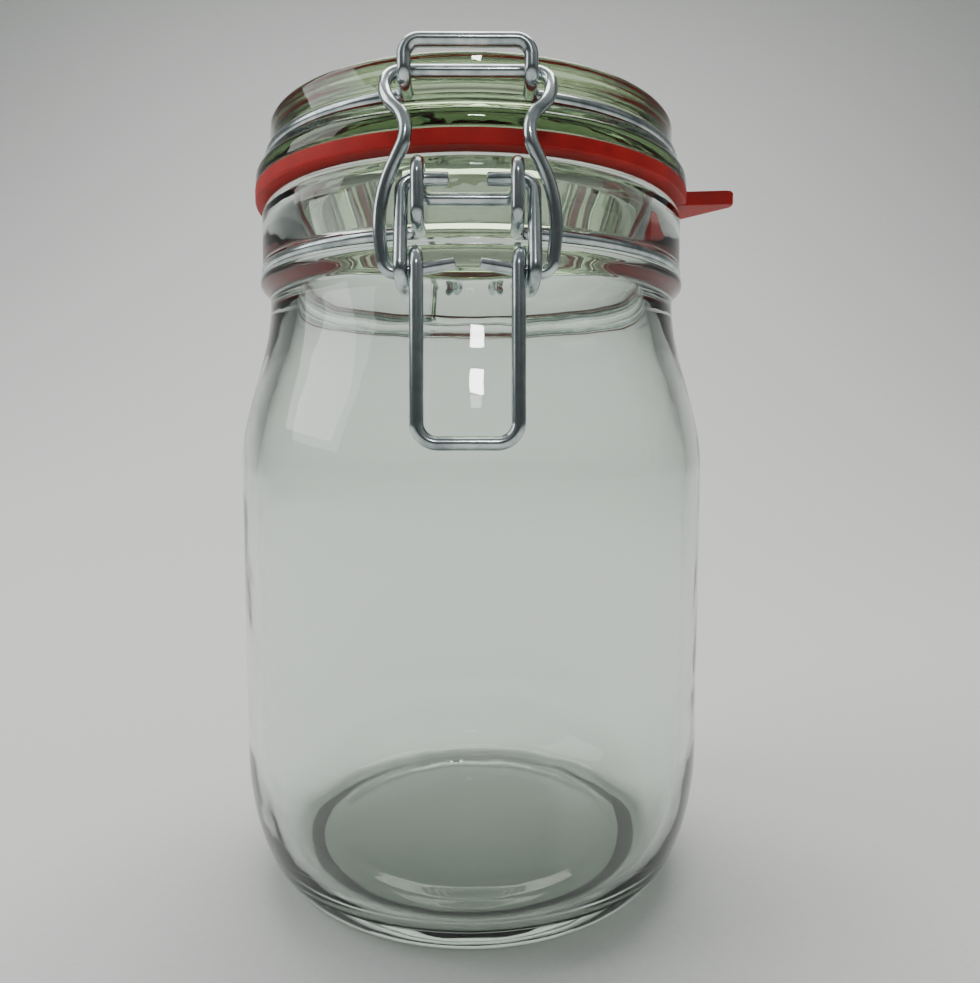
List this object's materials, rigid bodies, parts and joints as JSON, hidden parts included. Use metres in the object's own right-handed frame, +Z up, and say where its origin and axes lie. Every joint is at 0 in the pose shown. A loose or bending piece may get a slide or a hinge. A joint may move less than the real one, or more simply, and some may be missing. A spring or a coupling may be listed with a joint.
{
  "type": "clip-top glass storage jar",
  "caption": "Round clear glass canister with a hinged glass lid, red rubber seal and a wire lever clasp that draws the lid down onto its lip.",
  "frame": {"origin": "centre of the foot, on the plane the jar stands on", "axes": "+Z up along the jar's axis, the clasp faces -Y, the lid hinge is at +Y, the gasket's pull tab is at +X"},
  "size_m": [0.1087, 0.1161, 0.1652],
  "materials": {
    "jar_glass": "clear, faint grey-green",
    "lid_glass": "clear, thick, faint green",
    "red_rubber": "satin",
    "plated_wire": "bright drawn, plated"
  },
  "bodies": {
    "jar": {"glass_jar": "jar_glass", "neck_wire": "plated_wire"},
    "lid": {"glass_lid": "lid_glass", "rubber_gasket": "red_rubber", "lid_wire": "plated_wire"},
    "lever": {"lever_handle": "plated_wire"},
    "bail": {"locking_bail": "plated_wire"}
  },
  "joints": [
    {"name": "lid_hinge", "type": "hinge", "parent": "jar", "child": "lid", "pos_m": [0, 0.0545, 0.148], "axis": [-1, 0, 0], "range_deg": [0, 110]},
    {"name": "lever_pivot", "type": "hinge", "parent": "jar", "child": "lever", "pos_m": [0, -0.0507, 0.1412], "axis": [-1, 0, 0], "range_deg": [0, 80]},
    {"name": "bail_pivot", "type": "hinge", "parent": "lever", "child": "bail", "pos_m": [0, -0.0514, 0.1259], "axis": [1, 0, 0], "range_deg": [0, 52]}
  ],
  "couplings": [
    {"joint": "bail_pivot", "follows": "lever_pivot", "ratio": 0.64}
  ]
}
